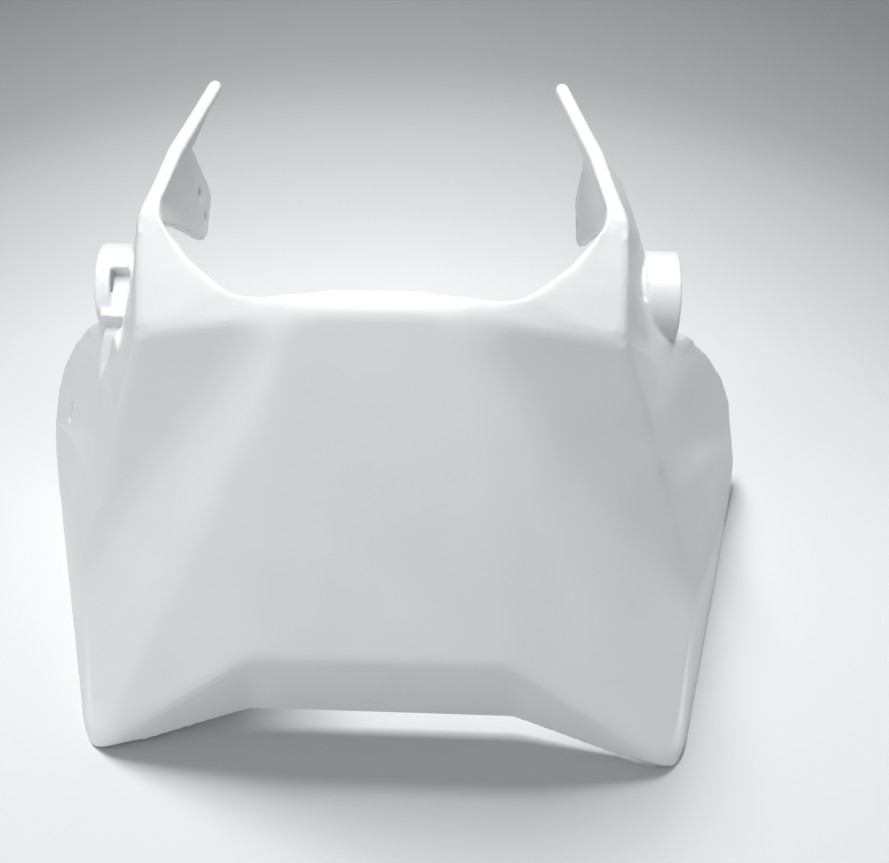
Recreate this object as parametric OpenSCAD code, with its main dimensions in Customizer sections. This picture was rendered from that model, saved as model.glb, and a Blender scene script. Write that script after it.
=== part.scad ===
// Motorcycle nose fairing, moulded in one piece: a folded shell with a raised deck,
// two rear horns with bolting tabs, flared side wings and a round boss on each side.
// X is across the bike, Y runs rearward, Z is up. The shell stands on its front corners
// and on the rims of its wings.

/* [Front face] */
// Width over the lower front corners
front_w = 250; // [235:1:262]
// Width of the lip between its two kinks
lip_w = 102; // [80:1:120]
// Distance of the lip crease behind the front corners
lip_back = 37.5; // [34:0.5:42]
// Height of the lip crease over the ground
lip_h = 48.5; // [44:0.5:54]
// Gap under the middle of the lip
lip_gap = 9.5; // [6:0.5:14]

/* [Deck] */
// Width of the deck over its front corners
deck_w = 175; // [165:1:185]
// Width of the level middle of the deck
deck_flat_w = 64; // [50:1:76]
// Distance of the deck's front crease behind the front corners
deck_back = 145; // [138:1:152]
// Height of the middle of the deck
deck_h = 150; // [140:1:160]
// Drop from the middle of the deck to its front corners
deck_drop = 22; // [14:1:28]

/* [Horns] */
// Distance of the horn tips behind the front corners
horn_back = 244; // [238:1:254]
// Width over the horn tips, middle to middle
horn_w = 128; // [118:1:138]
// Width of a horn at its tip
horn_t = 5.1; // [4.5:0.1:6]
// Depth of a horn at its root
horn_depth = 8; // [6:0.5:10]

/* [Wings] */
// Width over the wings at their widest
wing_w = 300; // [290:1:310]
// Distance of the wings' rear tips behind the front corners
wing_back = 166; // [160:1:169]

/* [Bosses] */
// Outer diameter of a boss
boss_d = 36; // [34:0.5:40]
// Distance of a boss's axis behind the front corners
boss_back = 179.5; // [177:0.5:182]
// Height of a boss's axis
boss_h = 82; // [79:0.5:85]
// Width over the outer faces of the two bosses
boss_span = 226; // [222:1:234]

/* [Tabs] */
// Distance between the inner faces of the two tabs
tab_span = 151; // [148:0.5:154]
// Thickness of a tab
tab_t = 3; // [2.5:0.1:4]
// Diameter of a bolt hole
hole_d = 6.4; // [5:0.1:7]
// Distance between the two holes of a tab
hole_pitch = 15; // [13:0.5:17]

/* [Left side] */
// Width of the two steps in front of the left boss
step_w = 10.3; // [8:0.1:11]
// Height of the riser between the two steps
step_h = 7.5; // [5:0.5:9]
// Depth of the recess in the left boss, from its top
recess = 6; // [4:0.5:7]
// Thickness of the left boss's disc beside the recess
disc = 6; // [3.5:0.5:7]
// Length of the slot in the left wing
slot_len = 12; // [8:0.5:14]
// Width of the slot in the left wing
slot_w = 2.6; // [2:0.1:4]

/* [Shell] */
// Wall thickness
wall = 3; // [2.4:0.1:3.6]
// Softness of the folds, measured from a fold to where its panel is flat
fold = 3; // [2:0.25:4]

/* [Hidden] */

// Driving half widths
front_x = front_w / 2;
lip_x = lip_w / 2;
deck_x = deck_w / 2;
flat_x = deck_flat_w / 2;
wing_x = wing_w / 2;
horn_x = horn_w / 2;
tab_x = tab_span / 2;
boss_x = boss_span / 2;

// Heights and distances that follow from them
corner_h = deck_h - deck_drop;
boss_r = boss_d / 2;
rim_back = 116;
ridge_x = front_x + 5.5;

// Corners of the right half, each with its name, counted from the front corners and the ground
CORNERS = [
    ["lip", [lip_x + 4, lip_back - 16.7, lip_gap]],
    ["crease", [lip_x, lip_back, lip_h]],
    ["crease_end", [front_x - 9, 4.6, 7]],
    ["toe_front", [front_x - 6, 0.8, 0]],
    ["toe", [front_x - 0.8, 2.8, 0]],
    ["toe_side", [front_x + 2, 10, 0]],
    ["ridge_end", [front_x - 0.6, 9, 5.5]],
    ["ridge_low", [ridge_x, 69.5, 12.5]],
    ["ridge_mid", [(ridge_x + deck_x) / 2 + 3, deck_back - 41.5, corner_h / 2]],
    ["ridge_up", [deck_x + 14.8, deck_back - 25, corner_h - 39]],
    ["deck_kink", [flat_x, deck_back, deck_h]],
    ["deck_corner", [deck_x, deck_back - 1, corner_h]],
    ["rear_flat", [flat_x - 1, deck_back + 8.3, deck_h - 0.5]],
    ["rear_bend", [flat_x + 17, deck_back + 7.5, deck_h - 4]],
    ["notch", [deck_x - 34, deck_back + 10, deck_h - 5]],
    ["bay_a", [deck_x - 21, deck_back + 22, corner_h + 13]],
    ["bay_b", [deck_x - 12.3, deck_back + 31.7, corner_h + 12]],
    ["bay_c", [deck_x - 8.3, deck_back + 37.3, corner_h + 11.5]],
    ["bay_d", [deck_x - 6.7, deck_back + 43, corner_h + 11]],
    ["edge_mid", [deck_x + 0.7, deck_back + 20, corner_h + 5]],
    ["edge_end", [deck_x + 0.9, deck_back + 40, corner_h + 9]],
    ["rim", [wing_x - 1, rim_back, 0]],
    ["wing_a", [wing_x, rim_back + 15, 7]],
    ["wing_b", [wing_x - 1, wing_back - 23.5, 15]],
    ["wing_c", [wing_x - 5, wing_back - 13, 28]],
    ["wing_d", [wing_x - 11.5, wing_back - 6, 43]],
    ["wing_e", [wing_x - 20.5, wing_back - 2, 60]],
    ["wing_tip", [wing_x - 31, wing_back, 77]],
    ["side_low", [wing_x - 23.5, rim_back + 12, 44]],
    ["side_mid", [wing_x - 39, rim_back + 27, 80]],
    ["side_up", [deck_x + 14.5, deck_back + 8, corner_h - 34.5]],
    ["crest_a", [(deck_x + wing_x) / 2 - 14, boss_back - 15.5, boss_h + 9]],
    ["crest_b", [wing_x - 37.5, boss_back - 19, boss_h]],
    ["wall_a", [deck_x + 9.5, boss_back - 11, boss_h + boss_r + 3]],
    ["wall_b", [deck_x + 9.5, boss_back + 3, boss_h + boss_r + 1]],
    ["wall_c", [deck_x + 11.5, boss_back + 11.5, boss_h + boss_r]],
    ["wall_d", [deck_x + 15, boss_back + 12, boss_h]],
    ["wall_e", [deck_x + 16.5, boss_back + 3, boss_h - 12]],
    ["wall_f", [deck_x + 20, boss_back - 9, boss_h - 10]],
    ["wall_g", [deck_x + 6.3, deck_back + 63, corner_h - 25]],
    ["wall_h", [deck_x + 2.2, deck_back + 71.5, corner_h - 21]],
    ["wall_i", [deck_x - 4.5, deck_back + 74.5, corner_h - 9]],
    ["horn_a", [deck_x - 3.4, deck_back + 53, corner_h + 8]],
    ["horn_b", [deck_x - 9.5, deck_back + 71.5, corner_h + 5]]
];

// Panels of the right half, each by its corners, counter-clockwise seen from outside
PANELS = [
    ["lip", "toe_front", "crease_end", "crease"],
    ["toe_front", "toe", "toe_side", "ridge_end", "crease_end"],
    ["crease", "crease_end", "deck_kink"],
    ["crease_end", "ridge_end", "ridge_low", "deck_kink"],
    ["deck_kink", "ridge_low", "ridge_mid", "ridge_up", "deck_corner"],
    ["deck_kink", "deck_corner", "notch", "rear_bend", "rear_flat"],
    ["deck_corner", "edge_mid", "bay_a", "notch"],
    ["edge_mid", "edge_end", "bay_d", "bay_c", "bay_b", "bay_a"],
    ["ridge_end", "toe_side", "rim", "ridge_low"],
    ["ridge_low", "rim", "wing_a", "wing_b", "side_low", "ridge_mid"],
    ["side_low", "wing_b", "wing_c", "wing_d", "wing_e", "side_mid"],
    ["ridge_mid", "side_low", "side_mid", "ridge_up"],
    ["ridge_up", "side_mid", "side_up", "deck_corner"],
    ["side_mid", "wing_e", "wing_tip", "crest_b", "side_up"],
    ["side_up", "crest_b", "crest_a", "wall_a"],
    ["side_up", "wall_a", "edge_mid", "deck_corner"],
    ["wall_a", "wall_b", "edge_end", "edge_mid"],
    ["wall_b", "wall_c", "wall_g", "horn_a", "edge_end"],
    ["wall_g", "wall_h", "wall_i", "horn_b", "horn_a"],
    ["crest_a", "crest_b", "wall_f"],
    ["crest_b", "wing_tip", "wall_f"],
    ["crest_a", "wall_f", "wall_a"],
    ["wall_a", "wall_f", "wall_e", "wall_b"],
    ["wall_b", "wall_e", "wall_d", "wall_c"]
];

// Panels that cross the middle, each by its lower and its upper corner
MIDDLE = [
    ["lip", "crease"],
    ["crease", "deck_kink"],
    ["deck_kink", "rear_flat"]
];

// Folds that are softer than the others, each with its own softness
SOFT_FOLDS = [
    ["deck_kink", "ridge_low", 2.5 * fold],
    ["deck_kink", "crease_end", 2 * fold],
    ["side_low", "side_mid", 3 * fold],
    ["ridge_mid", "side_low", 3 * fold],
    ["ridge_up", "side_mid", 3 * fold],
    ["side_mid", "side_up", 2 * fold],
    ["side_up", "wall_a", fold]
];

// Tab corners, counted like the others, on the face that looks at the middle
TAB_CORNERS = [
    ["top_front", [deck_x - 8.5, deck_back + 37, corner_h + 10]],
    ["top_b", [deck_x - 7.2, deck_back + 46, corner_h + 9.5]],
    ["top_a", [deck_x - 11, deck_back + 60, corner_h + 7.5]],
    ["top_rear", [deck_x - 15, deck_back + 73.5, corner_h + 2]],
    ["rear_mid", [tab_x, deck_back + 81, 100]],
    ["rear_low", [tab_x, deck_back + 82.3, 80]],
    ["low_rear", [tab_x, deck_back + 81, 70.5]],
    ["low_front", [tab_x, deck_back + 62.5, 72.5]],
    ["front_low", [tab_x, deck_back + 56.5, 80]],
    ["front_mid", [tab_x + 3, deck_back + 47.5, 112]],
    ["fold_b", [tab_x, deck_back + 59, 85.5]],
    ["fold_a", [tab_x, deck_back + 68, 99]]
];
TAB_PANELS = [
    ["top_front", "top_b", "fold_b", "front_low", "front_mid"],
    ["top_b", "top_a", "fold_a", "fold_b"],
    ["top_a", "top_rear", "rear_mid", "fold_a"],
    ["fold_a", "rear_mid", "rear_low", "low_rear", "low_front", "front_low", "fold_b"]
];

// Helpers on lists and vectors
function unit(v) = v / norm(v);
function sum(list, i = 0) = i == len(list) - 1 ? list[i] : list[i] + sum(list, i + 1);
function mean(list) = sum(list) / len(list);
function corner_number(name, corners) = search([name], corners)[0];
function outer_product(n) = [for (a = n) a * n];
function solve(m, b) =
    [b * cross(m[1], m[2]), m[0] * cross(b, m[2]), m[0] * cross(m[1], b)] / (m[0] * cross(m[1], m[2]));

// Mean normal of a panel
function panel_normal(points, panel) =
    unit(sum([for (j = [0:len(panel) - 1])
        cross(points[panel[j]] - points[panel[0]], points[panel[(j + 1) % len(panel)]] - points[panel[0]])]));

// Corners of the wall's other side: each lies one wall behind every panel that meets there,
// and a corner on the ground stays on it
function other_side(points, panels, thickness) =
    let (normals = [for (p = panels) panel_normal(points, p)])
    [for (v = [0:len(points) - 1])
        let (
            around = [for (f = [0:len(panels) - 1]) if (len(search(v, panels[f])) > 0) normals[f]],
            level = points[v][2] == 0 ? 9 : 0,
            m = sum([for (n = around) outer_product(n)]) + 0.01 * [[1, 0, 0], [0, 1, 0], [0, 0, 1 + 100 * level]]
        )
        points[v] - thickness * solve(m, sum(around))];

// Start of each panel in the list of all panel corners
function starts(panels) =
    [for (i = 0, s = 0; i < len(panels); s = s + len(panels[i]), i = i + 1) s];

// A sheet with soft folds: each panel is drawn in from its folds, strips round the folds
// and fans round the corners. Gives the points, the triangles and the edges of the rim.
function soft_sheet(points, panels, softness, exceptions) =
    let (
        n = len(points),
        first = starts(panels),
        edges = [for (f = [0:len(panels) - 1]) for (j = [0:len(panels[f]) - 1])
            [panels[f][j] * n + panels[f][(j + 1) % len(panels[f])], f, j]],
        count = len(edges),
        tail = [for (e = edges) floor(e[0] / n)],
        head = [for (e = edges) e[0] % n],
        after = [for (e = edges) first[e[1]] + (e[2] + 1) % len(panels[e[1]])],
        before = [for (e = edges) first[e[1]] + (e[2] + len(panels[e[1]]) - 1) % len(panels[e[1]])],
        twin = [for (k = [0:count - 1])
            let (found = search(head[k] * n + tail[k], edges)) len(found) > 0 ? found[0] : -1],
        special = [for (s = exceptions) each [[s[0] * n + s[1], s[2]], [s[1] * n + s[0], s[2]]]],
        width = [for (k = [0:count - 1])
            let (found = search(edges[k][0], special))
            twin[k] < 0 ? 0 : len(found) > 0 ? special[found[0]][1] : softness],
        normals = [for (p = panels) panel_normal(points, p)],
        inset = [for (k = [0:count - 1])
            let (
                v = points[tail[k]],
                length_in = norm(v - points[tail[before[k]]]),
                length_out = norm(points[head[k]] - v),
                e_in = (v - points[tail[before[k]]]) / length_in,
                e_out = (points[head[k]] - v) / length_out,
                p_in = cross(normals[edges[k][1]], e_in),
                p_out = cross(normals[edges[k][1]], e_out),
                w_in = min(width[before[k]], 0.3 * length_out),
                w_out = min(width[k], 0.3 * length_in),
                s = e_out * p_in
            )
            v + (e_in * e_out > 0.95 ? (p_in * w_in + p_out * w_out) / 2 : (e_out * w_in - e_in * w_out) / s)],
        middle = [for (k = [0:count - 1])
            twin[k] < 0 ? inset[k] : (inset[k] + 2 * points[tail[k]] + inset[after[twin[k]]]) / 4],
        around = [for (v = [0:n - 1]) [for (k = [0:count - 1]) if (tail[k] == v) k]],
        open = [for (v = [0:n - 1]) len([for (k = around[v]) if (twin[k] < 0) k]) > 0],
        hub = [for (v = [0:n - 1])
            open[v] ? points[v] : 0.45 * points[v] + 0.55 * mean([for (k = around[v]) inset[k]])],
        centre = [for (f = [0:len(panels) - 1])
            mean([for (j = [0:len(panels[f]) - 1]) inset[first[f] + j]])],
        hub_0 = 2 * count,
        centre_0 = hub_0 + n,
        triangles = [
            for (k = [0:count - 1]) [centre_0 + edges[k][1], k, after[k]],
            for (k = [0:count - 1]) if (twin[k] > k)
                each let (t = twin[k]) [
                    [k, count + k, count + t], [k, count + t, after[k]],
                    [count + k, after[t], t], [count + k, t, count + t]],
            for (k = [0:count - 1]) if (twin[k] >= 0 && !(open[tail[k]] && len(around[tail[k]]) == 2))
                each [[hub_0 + tail[k], count + k, k], [hub_0 + tail[k], after[twin[k]], count + k]]
        ],
        rim = [for (k = [0:count - 1]) if (twin[k] < 0)
            each let (
                c = after[k],
                m = [for (i = around[head[k]]) if (twin[i] < 0) i][0],
                via = len(around[head[k]]) == 2 ? count + c : hub_0 + head[k]
            ) c == m ? [[k, c]] : [[k, c], [c, via], [via, m]]]
    )
    [concat(inset, middle, hub, centre), triangles, rim];

// A wall of even thickness behind a folded sheet
module folded_wall(points, panels, thickness, softness, exceptions = []) {
    front = soft_sheet(points, panels, softness, exceptions);
    back = soft_sheet(other_side(points, panels, thickness), panels, softness, exceptions);
    n = len(front[0]);
    polyhedron(
        points = concat(front[0], back[0]),
        faces = [
            for (t = front[1]) [t[2], t[1], t[0]],
            for (t = back[1]) [t[0] + n, t[1] + n, t[2] + n],
            for (r = front[2]) each [[r[0], r[1], r[0] + n], [r[1], r[1] + n, r[0] + n]]
        ]
    );
}

// The shell's corners and panels on both sides of the middle
half = len(CORNERS);
all_corners = concat([for (c = CORNERS) c[1]], [for (c = CORNERS) [-c[1][0], c[1][1], c[1][2]]]);
right_panels = [for (p = PANELS) [for (name = p) corner_number(name, CORNERS)]];
left_panels = [for (p = right_panels) [for (j = [len(p) - 1:-1:0]) p[j] + half]];
middle_panels = [for (p = MIDDLE)
    let (low = corner_number(p[0], CORNERS), high = corner_number(p[1], CORNERS))
    [low + half, low, high, high + half]];
soft_folds = [for (s = SOFT_FOLDS)
    let (a = corner_number(s[0], CORNERS), b = corner_number(s[1], CORNERS))
    each [[a, b, s[2]], [a + half, b + half, s[2]]]];

module skin() {
    folded_wall(all_corners, concat(middle_panels, right_panels, left_panels), wall, fold, soft_folds);
}

// A bar through cross-sections that all have the same number of points
module bar_through(sections) {
    m = len(sections[0]);
    last = len(sections) - 1;
    polyhedron(
        points = [for (s = sections) each s],
        faces = [
            [for (i = [m - 1:-1:0]) i],
            [for (i = [0:m - 1]) last * m + i],
            for (s = [0:last - 1]) for (i = [0:m - 1])
                let (a = s * m + i, b = s * m + (i + 1) % m)
                each [[a, b, a + m], [b, b + m, a + m]]
        ]
    );
}

// Stations along the middle of a horn: place, height, width and depth
horn_root = [deck_x - 10.6, deck_back + 68.3];
horn_end = [horn_x, horn_back];
horn_way = unit(horn_end - horn_root);
tip_r = horn_t / 2;
HORN = [
    [[deck_x - 3, deck_back + 34], corner_h + 8.5, 7, horn_depth - 3],
    [[deck_x - 2.8, deck_back + 41], corner_h + 9.2, 6.5, horn_depth - 1],
    [[deck_x - 5.8, deck_back + 52.2], corner_h + 8.3, horn_t + 0.4, horn_depth],
    [horn_root, corner_h + 7, horn_t + 0.6, horn_depth],
    [horn_root + 9 * horn_way, corner_h + 6, horn_t + 0.3, horn_depth - 1.5],
    [horn_end - 13 * horn_way, corner_h + 5, horn_t, horn_depth - 4.5],
    for (a = [0, 25, 50, 72])
        [horn_end - tip_r * (1 - sin(a)) * horn_way, corner_h + 4, horn_t * cos(a), horn_depth - 5]
];

// Cross-section of a horn with broken edges; its width runs square to the horn
function horn_section(station, along) =
    let (
        side = [-along[1], along[0]],
        top = station[1],
        h = station[2] / 2,
        d = station[3],
        e = min(0.7, h / 2)
    )
    [for (q = [[-h, -d + e], [-h, -e], [e - h, 0], [h - e, 0], [h, -e], [h, -d + e], [h - e, -d], [e - h, -d]])
        [station[0][0] + q[0] * side[0], station[0][1] + q[0] * side[1], top + q[1]]];

module horn() {
    last = len(HORN) - 1;
    bar_through([for (i = [0:last])
        let (
            a = HORN[max(i - 1, 0)][0],
            b = HORN[min(i + 1, last)][0]
        )
        horn_section(HORN[i], unit(b - a))]);
}

module tab() {
    corners = [for (c = TAB_CORNERS) c[1]];
    panels = [for (p = TAB_PANELS) [for (name = p) corner_number(name, TAB_CORNERS)]];
    folded_wall(corners, panels, tab_t, min(fold, 1));
}

// Bolt holes of the right tab, as [y, z]
hole_up = [deck_back + 71, 93.2];
hole_low = hole_up - hole_pitch * [sin(15), cos(15)];

module bolt_holes() {
    for (h = [hole_up, hole_low])
        translate([tab_x - 10, h[0], h[1]])
            rotate([0, 90, 0])
                cylinder(d = hole_d, h = 20, $fn = 48);
}

// A boss has a neck where it leaves the side wall, and a cup inside that is open to the middle
boss_root = deck_x + 8;
neck_end = deck_x + 12.5;
cup_start = boss_root - 12;

// A cylinder along X on the axis of the right boss
module boss_bar(from, to, diameter) {
    translate([from, boss_back, boss_h])
        rotate([0, 90, 0])
            cylinder(d = diameter, h = to - from, $fn = 72);
}

module boss() {
    boss_bar(boss_root, neck_end + 1, boss_d - wall);
    boss_bar(neck_end, boss_x, boss_d);
}

module boss_cup() {
    boss_bar(cup_start, boss_x - wall, boss_d - 2 * wall);
}

// Left side only, drawn on the right and mirrored: two steps lead up to a recess in the boss,
// and a ledge runs down the wing from them
step_in = deck_x + 13;
step_out = step_in + step_w;
step_front = boss_back - 22;
riser = boss_back - 17;
recess_in = deck_x + 12;
recess_floor = boss_h + boss_r - recess;
step_up = recess_floor + 0.5;
step_low = step_up - step_h;
over_all = 30;

function spot(name) = CORNERS[corner_number(name, CORNERS)][1];

// Corners of the ledge, from the inner end of the lower step round to its inner low corner
LEDGE = [
    [step_in, step_front, step_low],
    [step_out, step_front, step_low],
    spot("side_mid") + [10.2, 1, -16],
    spot("wing_b") + [-18.9, -6, 28.4],
    spot("side_mid") + [4.2, -2.2, -8.9]
];

// What lies between the ledge moved by one height and the ledge moved by another
module along_ledge(low, high) {
    n = len(LEDGE);
    polyhedron(
        points = [for (h = [low, high]) for (p = LEDGE) p + [0, 0, h]],
        faces = [
            for (i = [0:n - 3]) each [[n - 1, i + 1, i], [n + i, n + i + 1, 2 * n - 1]],
            for (i = [0:n - 1]) let (j = (i + 1) % n) each [[n + j, n + i, i], [n + j, i, j]]
        ]
    );
}

// A profile in Y and Z, as wide as the steps
module across_steps(profile) {
    translate([step_in, 0, 0])
        rotate([90, 0, 90])
            linear_extrude(height = step_w)
                polygon(profile);
}

module steps() {
    across_steps([
        [step_front, step_low - 2 * wall],
        [step_front, step_low],
        [riser, step_low],
        [riser, step_up],
        [riser + 6, step_up],
        [riser + 6, step_low - wall],
        [step_front + 5, step_low - 2 * wall]
    ]);
}

module over_steps() {
    across_steps([
        [step_front, step_low],
        [riser, step_low],
        [riser, step_up],
        [boss_back, step_up],
        [boss_back, step_up + over_all],
        [step_front, step_up + over_all]
    ]);
}

// Plastic behind the side wall where the steps cut into it
module step_root() {
    intersection() {
        translate([step_in - 3, step_front - 10, step_low - 2 * wall])
            cube([step_w + 1, 22, step_h + 2 * wall + 4]);
        translate([-1, 0, -1])
            hull()
                for (name = ["deck_corner", "edge_mid", "side_up", "side_mid", "wing_tip", "wall_a", "wall_f"])
                    translate(spot(name))
                        cube(0.01);
    }
}

// The wing's slot runs along the line between two places on its face
slot_low = spot("wing_c") + [-6.6, -14.6, 2.3];
slot_high = slot_low + [-3.5, 5.7, 9.4];
wing_out = unit(cross(slot_high - slot_low, [0, -1, 0]));

module slot() {
    way = unit(slot_high - slot_low);
    middle = (slot_high + slot_low) / 2;
    half_way = (slot_len - slot_w) / 2 * way;
    hull()
        for (end = [-1, 1], reach = [-2 * wall, 2 * wall])
            translate(middle + end * half_way + reach * wing_out)
                sphere(d = slot_w, $fn = 16);
}

module both_sides() {
    children();
    mirror([1, 0, 0])
        children();
}

module left_side() {
    mirror([1, 0, 0])
        children();
}

module folded_body() {
    difference() {
        union() {
            skin();
            both_sides() {
                horn();
                tab();
            }
            left_side() {
                step_root();
                steps();
                along_ledge(-2 * wall, 0);
            }
        }
        left_side() {
            over_steps();
            along_ledge(0, over_all);
            slot();
        }
    }
}

// The recess in the left boss, with a slit in its floor beside the side wall
module recess_space(grown) {
    translate([recess_in, boss_back - boss_r, recess_floor - grown])
        cube([boss_x - disc - recess_in, boss_r + 1.5 + grown, recess + grown + 1]);
}

module recess_slit() {
    translate([recess_in + 1, boss_back - 13, recess_floor - 2 * wall])
        cube([1.2, 8, 3 * wall]);
}

// Place of the shell's foremost point
front_y = 1.2;

module fairing_shell() {
    color("white")
        translate([0, -(front_y + horn_back) / 2, 0])
            difference() {
                union() {
                    resize([0, 0, 0])
                        folded_body();
                    both_sides()
                        boss();
                }
                boss_cup();
                left_side() {
                    difference() {
                        boss_cup();
                        recess_space(wall);
                    }
                    recess_space(0);
                    recess_slit();
                }
                both_sides()
                    bolt_holes();
            }
}

fairing_shell();
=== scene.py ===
"""White moulded nose fairing for a motorcycle, lying on its rims in a plain studio."""

import logging
import math
from dataclasses import dataclass
from enum import Enum

import bpy
import numpy as np
from mathutils import Matrix, Vector


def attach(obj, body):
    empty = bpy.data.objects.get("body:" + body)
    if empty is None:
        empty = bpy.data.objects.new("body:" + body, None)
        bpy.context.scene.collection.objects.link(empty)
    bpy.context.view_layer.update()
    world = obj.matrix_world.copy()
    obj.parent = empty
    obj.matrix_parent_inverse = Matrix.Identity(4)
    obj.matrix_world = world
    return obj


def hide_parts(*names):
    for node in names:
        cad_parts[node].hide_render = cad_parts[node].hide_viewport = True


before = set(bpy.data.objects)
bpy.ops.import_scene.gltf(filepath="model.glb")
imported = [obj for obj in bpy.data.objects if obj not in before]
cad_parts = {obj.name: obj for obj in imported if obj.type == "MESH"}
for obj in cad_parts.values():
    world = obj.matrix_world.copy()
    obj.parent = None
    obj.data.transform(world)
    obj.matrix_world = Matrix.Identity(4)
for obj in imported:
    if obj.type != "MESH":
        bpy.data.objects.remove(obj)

LOG = logging.getLogger("fairing")
MM = 0.001
NODE = "fairing_shell"
PHOTO_WIDTH = 889
PHOTO_HEIGHT = 863
# Distance from the front corners to the middle of the part's box, in millimetres
MIDDLE_BACK = 122.6


class Softness(Enum):
    """How far a fold's rounding reaches to each side, in millimetres."""

    TIGHT = 3.0
    SOFT = 7.0
    WIDE = 11.0


class Lit(Enum):
    """What a lamp shines on."""

    FAIRING = "fairing"
    FLOOR = "floor"


@dataclass(frozen=True)
class Fold:
    """A straight stretch of a fold in the shell, on both halves or on the right one only.

    Points are in millimetres: across from the middle, back from the front corners, up.
    """

    start: tuple[float, float, float]
    end: tuple[float, float, float]
    softness: Softness
    both_sides: bool = True


FOLDS = (
    # Crease along the front of the deck
    Fold((-32, 145, 150), (32, 145, 150), Softness.TIGHT),
    Fold((32, 145, 150), (87.5, 144, 128), Softness.TIGHT),
    # Kink across the deck, and the edge of the bay from there to the foot of the horn
    Fold((33, 147, 149.5), (32, 151, 149.5), Softness.WIDE),
    Fold((44, 150, 147), (52, 153, 146), Softness.SOFT),
    Fold((53.5, 155, 145), (66.5, 167, 141), Softness.SOFT),
    Fold((66.5, 167, 141), (75.2, 176.7, 140), Softness.TIGHT),
    Fold((80.8, 188, 139), (88.4, 185, 137), Softness.TIGHT),
    # Long folds that run down the front face from the ends of the crease
    Fold((34, 137, 140), (51, 37.5, 48.5), Softness.SOFT),
    Fold((37, 136, 138), (116, 5, 7), Softness.WIDE),
    Fold((42, 134, 136), (128, 69.5, 12.5), Softness.WIDE),
    # Side panel where it runs out into the wing
    Fold((112, 103.5, 64), (126.5, 128, 44), Softness.WIDE),
    # Plain right side round the boss, where the left side has its steps
    Fold((126.5, 128, 44), (142, 138, 24), Softness.WIDE, both_sides=False),
    Fold((126.5, 128, 44), (111, 143, 80), Softness.WIDE, both_sides=False),
    Fold((102.3, 120, 89), (111, 143, 80), Softness.SOFT, both_sides=False),
    Fold((111, 143, 80), (102, 153, 93.5), Softness.SOFT, both_sides=False),
    Fold((111, 143, 80), (121, 157, 67), Softness.SOFT, both_sides=False),
)


@dataclass(frozen=True)
class Lamp:
    """A square lamp that looks at the object.

    Azimuth 0 is to the right of the object and 90 is behind it. Lengths are in metres.
    """

    name: str
    azimuth_deg: float
    height_deg: float
    power: float
    lit: Lit
    size: float = 0.8
    distance: float = 1.6


LAMPS = (
    Lamp("behind", 90, 65, 19.0, Lit.FAIRING),
    Lamp("behind_low", 80, 36, 7.0, Lit.FAIRING),
    Lamp("behind_right", 45, 62, 2.2, Lit.FAIRING),
    Lamp("front_left", 225, 38, 7.7, Lit.FAIRING),
    Lamp("front", 265, 38, 2.4, Lit.FAIRING),
    Lamp("floor_key", 104, 41.5, 182.0, Lit.FLOOR, 0.9, 4.0),
    Lamp("floor_fill", 100, 75, 24.0, Lit.FLOOR, 3.0, 3.0),
)


@dataclass(frozen=True)
class WhitePlastic:
    """Satin white moulded plastic with a faint flow pattern and fine grain."""

    colour: tuple[float, float, float] = (0.80, 0.815, 0.825)
    roughness: float = 0.42
    specular: float = 0.45
    drift: float = 0.035
    drift_scale: float = 22.0
    drift_detail: float = 3.0
    drift_band: tuple[float, float] = (0.35, 0.65)
    grain_scale: float = 1400.0
    grain_detail: float = 2.0
    grain_depth: float = 0.00002
    grain_strength: float = 0.6

    def build(self) -> bpy.types.Material:
        """Make the material from nodes.

        Returns:
            The finished material.
        """
        material = bpy.data.materials.new("white_plastic")
        material.use_nodes = True
        nodes = material.node_tree.nodes
        links = material.node_tree.links
        shader = nodes["Principled BSDF"]
        shader.inputs["Roughness"].default_value = self.roughness
        shader.inputs["Specular IOR Level"].default_value = self.specular
        place = nodes.new("ShaderNodeTexCoord")
        drift = nodes.new("ShaderNodeTexNoise")
        drift.inputs["Scale"].default_value = self.drift_scale
        drift.inputs["Detail"].default_value = self.drift_detail
        links.new(place.outputs["Object"], drift.inputs["Vector"])
        ramp = nodes.new("ShaderNodeValToRGB")
        low, high = ramp.color_ramp.elements
        low.position, high.position = self.drift_band
        low.color = (*(c * (1 - self.drift) for c in self.colour), 1)
        high.color = (*self.colour, 1)
        links.new(drift.outputs["Fac"], ramp.inputs["Fac"])
        links.new(ramp.outputs["Color"], shader.inputs["Base Color"])
        grain = nodes.new("ShaderNodeTexNoise")
        grain.inputs["Scale"].default_value = self.grain_scale
        grain.inputs["Detail"].default_value = self.grain_detail
        links.new(place.outputs["Object"], grain.inputs["Vector"])
        bump = nodes.new("ShaderNodeBump")
        bump.inputs["Distance"].default_value = self.grain_depth
        bump.inputs["Strength"].default_value = self.grain_strength
        links.new(grain.outputs["Fac"], bump.inputs["Height"])
        links.new(bump.outputs["Normal"], shader.inputs["Normal"])
        return material


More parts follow.
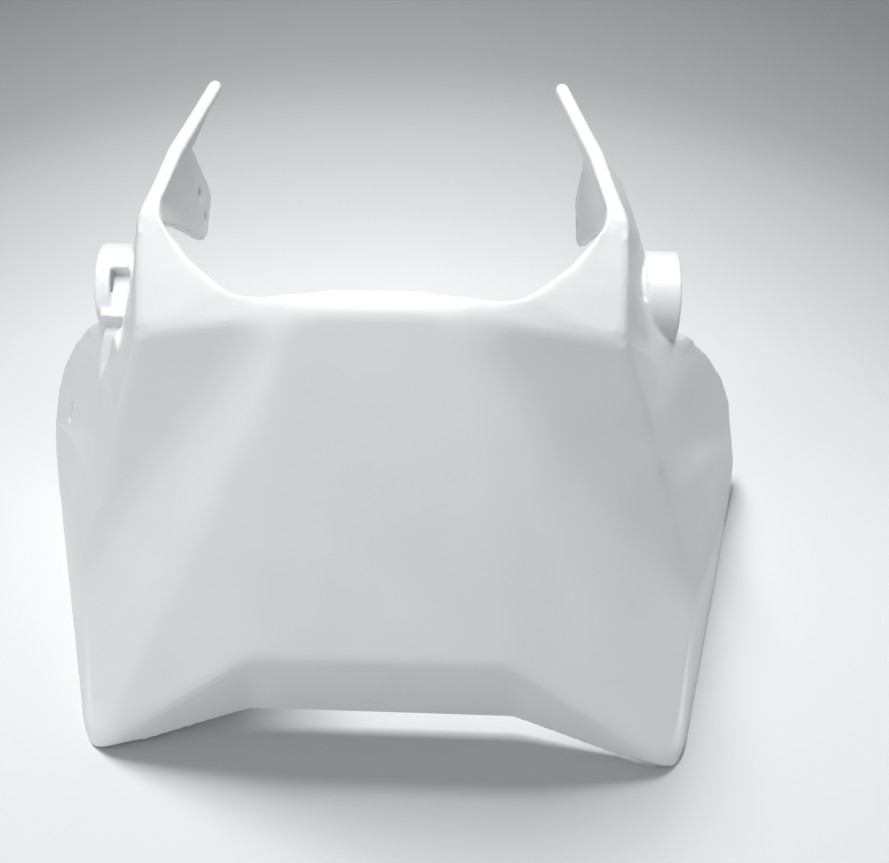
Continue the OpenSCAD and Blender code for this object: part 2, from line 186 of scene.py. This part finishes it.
@dataclass(frozen=True)
class FloorPaintedFalloff:
    """Pale floor with painted shade that greys it behind the object, standing in for light
    falling off towards the back.

    Each step of painted shade is a distance from the middle of the pale part, in metres, and the
    grey there.
    The falling off starts between the two depths of `begins`, so the floor in front stays pale.
    """

    middle: tuple[float, float, float] = (0.0, -0.3, 0.0)
    # Painted shade: the grey darkens with distance behind the object, then lightens again far
    # off
    painted_falloff: tuple[tuple[float, float], ...] = (
        (0.30, 0.86),
        (0.40, 0.74),
        (0.44, 0.62),
        (0.48, 0.50),
        (0.51, 0.345),
        (0.55, 0.285),
        (0.59, 0.20),
        (0.66, 0.22),
        (0.95, 0.50),
    )
    begins: tuple[float, float] = (-0.08, 0.05)
    pale: float = 0.86
    tint: tuple[float, float, float] = (1.0, 1.012, 1.032)
    roughness: float = 0.9
    specular: float = 0.06

    def build(self) -> bpy.types.Material:
        """Make the floor's material, with shade painted into its colour.

        Returns:
            The finished material.
        """
        material = bpy.data.materials.new("floor_with_painted_falloff")
        material.use_nodes = True
        nodes = material.node_tree.nodes
        links = material.node_tree.links
        shader = nodes["Principled BSDF"]
        shader.inputs["Roughness"].default_value = self.roughness
        shader.inputs["Specular IOR Level"].default_value = self.specular
        place = nodes.new("ShaderNodeTexCoord")
        away = nodes.new("ShaderNodeVectorMath")
        away.operation = "DISTANCE"
        away.inputs[1].default_value = self.middle
        links.new(place.outputs["Object"], away.inputs[0])
        # This ramp paints shade into the floor's colour, greying it with distance from the pale
        # middle
        ramp = nodes.new("ShaderNodeValToRGB")
        ramp.color_ramp.interpolation = "B_SPLINE"
        stops = ramp.color_ramp.elements
        while len(stops) < len(self.painted_falloff):
            stops.new(0.5)
        for stop, (distance, grey) in zip(stops, self.painted_falloff):
            stop.position = distance
            stop.color = self._tinted(grey)
        links.new(away.outputs["Value"], ramp.inputs["Fac"])
        depth = nodes.new("ShaderNodeSeparateXYZ")
        links.new(place.outputs["Object"], depth.inputs[0])
        rearward = nodes.new("ShaderNodeMapRange")
        rearward.interpolation_type = "SMOOTHSTEP"
        rearward.inputs["From Min"].default_value = self.begins[0]
        rearward.inputs["From Max"].default_value = self.begins[1]
        links.new(depth.outputs["Y"], rearward.inputs["Value"])
        mix = nodes.new("ShaderNodeMixRGB")
        mix.inputs["Color1"].default_value = self._tinted(self.pale)
        links.new(rearward.outputs["Result"], mix.inputs["Fac"])
        links.new(ramp.outputs["Color"], mix.inputs["Color2"])
        links.new(mix.outputs["Color"], shader.inputs["Base Color"])
        return material

    def _tinted(self, grey: float) -> tuple[float, float, float, float]:
        """Give a grey its slight cool tint.

        Args:
            grey: The plain grey, from 0 to 1.

        Returns:
            The tinted colour with its alpha.
        """
        return (*(grey * part for part in self.tint), 1)


@dataclass
class MouldedShell:
    """The whole fairing as one moulding, smoothed from the frame's solid.

    The voxel is in millimetres. Each even round pulls a vertex to its neighbours and pushes it
    back a little further, which evens the net and keeps its size. Each fold then gets rounds
    that only pull: soft_rounds times the square of its softness. They act in full up to half
    the softness from the fold and end at fade_end times the softness.
    """

    voxel: float = 0.75
    face_budget: int = 195_000
    even_rounds: int = 10
    pull: float = 0.5
    extra_push: float = 0.02
    soft_rounds: float = 0.75
    fade_end: float = 1.5
    folds: tuple[Fold, ...] = FOLDS

    def build(self, material: bpy.types.Material) -> bpy.types.Object:
        """Make the moulding, dress it and hang it on the frame.

        Args:
            material: The plastic it is moulded in.

        Returns:
            The finished piece.
        """
        piece = self._copy_solid()
        self._remesh(piece)
        self._relax(piece)
        self._lighten(piece)
        piece.data.materials.clear()
        piece.data.materials.append(material)
        for face in piece.data.polygons:
            face.use_smooth = True
        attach(piece, "root")
        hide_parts(NODE)
        return piece

    def _copy_solid(self) -> bpy.types.Object:
        """Copy the frame's solid into a new object at the origin.

        Returns:
            The copy.
        """
        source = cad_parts[NODE]
        mesh = source.data.copy()
        mesh.transform(source.matrix_world)
        piece = bpy.data.objects.new("fairing_moulding", mesh)
        bpy.context.scene.collection.objects.link(piece)
        return piece

    def _remesh(self, piece: bpy.types.Object) -> None:
        """Lay an even net of quads over the solid.

        Args:
            piece: The piece whose mesh is remade.
        """
        net = piece.modifiers.new("net", "REMESH")
        net.mode = "VOXEL"
        net.voxel_size = self.voxel * MM
        self._apply(piece)

    def _relax(self, piece: bpy.types.Object) -> None:
        """Even out the net, and round each fold as far as its softness asks.

        Args:
            piece: The piece whose vertices move.
        """
        mesh = piece.data
        count = len(mesh.vertices)
        places = np.empty(count * 3)
        mesh.vertices.foreach_get("co", places)
        places = places.reshape(-1, 3)
        ends = np.empty(len(mesh.edges) * 2, dtype=np.int64)
        mesh.edges.foreach_get("vertices", ends)
        ends = ends.reshape(-1, 2)
        tails = np.concatenate([ends[:, 0], ends[:, 1]])
        heads = np.concatenate([ends[:, 1], ends[:, 0]])
        share = 1.0 / np.maximum(np.bincount(tails, minlength=count), 1)
        for pull in (self.pull, -(self.pull + self.extra_push)) * self.even_rounds:
            mean = self._mean(places, tails, heads, share)
            places += pull * (mean - places)
        for softness in Softness:
            near = self._nearness(places, softness)[:, None]
            for _ in range(round(self.soft_rounds * softness.value**2)):
                mean = self._mean(places, tails, heads, share)
                places += self.pull * near * (mean - places)
        mesh.vertices.foreach_set("co", places.ravel())
        mesh.update()

    def _nearness(self, places: np.ndarray, softness: Softness) -> np.ndarray:
        """How strongly each vertex belongs to a fold of one softness.

        Args:
            places: Vertex places in metres, one row each.
            softness: The softness of the folds that count.

        Returns:
            One number from 0 to 1 for each vertex.
        """
        near = np.zeros(len(places))
        as_made = places / MM + (0, MIDDLE_BACK, 0)
        on_right = as_made.copy()
        on_right[:, 0] = np.abs(as_made[:, 0])
        for fold in self.folds:
            if fold.softness is not softness:
                continue
            spots = on_right if fold.both_sides else as_made
            start = np.array(fold.start, dtype=float)
            along = np.array(fold.end) - start
            part = np.clip((spots - start) @ along / (along @ along), 0, 1)
            gap = np.linalg.norm(spots - start - part[:, None] * along, axis=1)
            near = np.maximum(near, np.clip(self.fade_end - gap / softness.value, 0, 1))
        return near

    @staticmethod
    def _mean(
        places: np.ndarray, tails: np.ndarray, heads: np.ndarray, share: np.ndarray
    ) -> np.ndarray:
        """Mean place of each vertex's neighbours.

        Args:
            places: Vertex places, one row each.
            tails: Vertex at the start of each directed edge.
            heads: Vertex at its end.
            share: One over each vertex's number of neighbours.

        Returns:
            One mean place for each vertex.
        """
        count = len(places)
        total = [
            np.bincount(tails, weights=places[heads, axis], minlength=count) for axis in range(3)
        ]
        return np.stack(total, axis=1) * share[:, None]

    def _lighten(self, piece: bpy.types.Object) -> None:
        """Thin the net where it is flat, down to the face budget.

        Args:
            piece: The piece whose mesh is thinned.
        """
        triangles = sum(len(face.vertices) - 2 for face in piece.data.polygons)
        if triangles > self.face_budget:
            thin = piece.modifiers.new("thin", "DECIMATE")
            thin.ratio = self.face_budget / triangles
            self._apply(piece)

    @staticmethod
    def _apply(piece: bpy.types.Object) -> None:
        """Turn the piece's modifiers into plain mesh.

        Args:
            piece: The piece that has them.
        """
        graph = bpy.context.evaluated_depsgraph_get()
        mesh = bpy.data.meshes.new_from_object(piece.evaluated_get(graph))
        piece.modifiers.clear()
        piece.data = mesh


@dataclass
class Studio:
    """Floor, light and camera of the photograph."""

    focal_px: float = 1300.0
    axis_px: tuple[float, float] = (390.0, 431.5)
    camera_mm: tuple[float, float, float] = (27.14, -13.5, 562.87)
    yaw_deg: float = 10.021
    elevation_deg: float = 74.0
    roll_deg: float = 8.36
    sensor_mm: float = 36.0
    nearest: float = 0.01
    floor_size: float = 6.0
    aim: tuple[float, float, float] = (0.0, 0.0, 0.05)
    fill: float = 0.06
    surround: tuple[float, float, float] = (0.55, 0.555, 0.565)

    def build(self, fairing: bpy.types.Object) -> None:
        """Make everything around the object.

        Args:
            fairing: The piece that the lamps light.
        """
        groups = {Lit.FAIRING: self._group(fairing), Lit.FLOOR: self._group(self._floor())}
        for lamp in LAMPS:
            self._hang(lamp, groups[lamp.lit])
        self._world()
        self._camera()
        bpy.context.scene.view_settings.view_transform = "Standard"

    @staticmethod
    def _group(member: bpy.types.Object) -> bpy.types.Collection:
        """Put one object into a collection of its own for the lamps.

        Args:
            member: The object.

        Returns:
            The collection.
        """
        group = bpy.data.collections.new("lit_" + member.name)
        group.objects.link(member)
        return group

    def _floor(self) -> bpy.types.Object:
        """Lay the floor.

        Returns:
            The floor.
        """
        mesh = bpy.data.meshes.new("floor")
        half = self.floor_size / 2
        corners = [(-half, -half, 0), (half, -half, 0), (half, half, 0), (-half, half, 0)]
        mesh.from_pydata(corners, [], [(0, 1, 2, 3)])
        floor = bpy.data.objects.new("floor", mesh)
        bpy.context.scene.collection.objects.link(floor)
        # The floor's colour carries painted shade that greys it behind the object
        mesh.materials.append(FloorPaintedFalloff().build())
        return floor

    def _hang(self, lamp: Lamp, group: bpy.types.Collection) -> None:
        """Hang a lamp.

        Args:
            lamp: What it is and where it hangs.
            group: The collection that it lights.
        """
        light = bpy.data.lights.new(lamp.name, "AREA")
        light.size = lamp.size
        light.energy = lamp.power
        hung = bpy.data.objects.new(lamp.name, light)
        turn = math.radians(lamp.azimuth_deg)
        rise = math.radians(lamp.height_deg)
        flat = lamp.distance * math.cos(rise)
        up = lamp.distance * math.sin(rise)
        place = Vector((flat * math.cos(turn), flat * math.sin(turn), up))
        hung.location = place
        hung.rotation_euler = (Vector(self.aim) - place).to_track_quat("-Z", "Y").to_euler()
        hung.light_linking.receiver_collection = group
        bpy.context.scene.collection.objects.link(hung)

    def _world(self) -> None:
        """Fill the shadows a little, and show a plain pale grey beyond the floor."""
        world = bpy.data.worlds.new("surround")
        world.use_nodes = True
        nodes = world.node_tree.nodes
        links = world.node_tree.links
        fill = nodes["Background"]
        fill.inputs["Color"].default_value = (1, 1, 1, 1)
        fill.inputs["Strength"].default_value = self.fill
        seen = nodes.new("ShaderNodeBackground")
        seen.inputs["Color"].default_value = (*self.surround, 1)
        seen.inputs["Strength"].default_value = 1.0
        path = nodes.new("ShaderNodeLightPath")
        choice = nodes.new("ShaderNodeMixShader")
        links.new(path.outputs["Is Camera Ray"], choice.inputs["Fac"])
        links.new(fill.outputs["Background"], choice.inputs[1])
        links.new(seen.outputs["Background"], choice.inputs[2])
        links.new(choice.outputs["Shader"], nodes["World Output"].inputs["Surface"])
        bpy.context.scene.world = world

    def _camera(self) -> None:
        """Set the camera where the photograph was taken from."""
        data = bpy.data.cameras.new("camera")
        data.sensor_width = self.sensor_mm
        data.lens = data.sensor_width * self.focal_px / PHOTO_WIDTH
        data.shift_x = (PHOTO_WIDTH / 2 - self.axis_px[0]) / PHOTO_WIDTH
        data.shift_y = (self.axis_px[1] - PHOTO_HEIGHT / 2) / PHOTO_WIDTH
        data.clip_start = self.nearest
        camera = bpy.data.objects.new("camera", data)
        # A camera looks down its own -Z, so the last turn sets it level before it is tilted
        turn = (
            Matrix.Rotation(math.radians(self.yaw_deg), 4, "Z")
            @ Matrix.Rotation(-math.radians(self.elevation_deg), 4, "X")
            @ Matrix.Rotation(math.radians(self.roll_deg), 4, "Y")
            @ Matrix.Rotation(math.radians(90), 4, "X")
        )
        x, y, z = self.camera_mm
        camera.matrix_world = Matrix.Translation(Vector((x, y - MIDDLE_BACK, z)) * MM) @ turn
        bpy.context.scene.collection.objects.link(camera)
        bpy.context.scene.camera = camera


def main() -> None:
    """Build the fairing and its studio, and log how many faces the fairing came out with."""
    logging.basicConfig(level=logging.INFO)
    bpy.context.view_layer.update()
    piece = MouldedShell().build(WhitePlastic().build())
    Studio().build(piece)
    LOG.info("%s: %d faces", piece.name, len(piece.data.polygons))


if __name__ == "__main__":
    main()
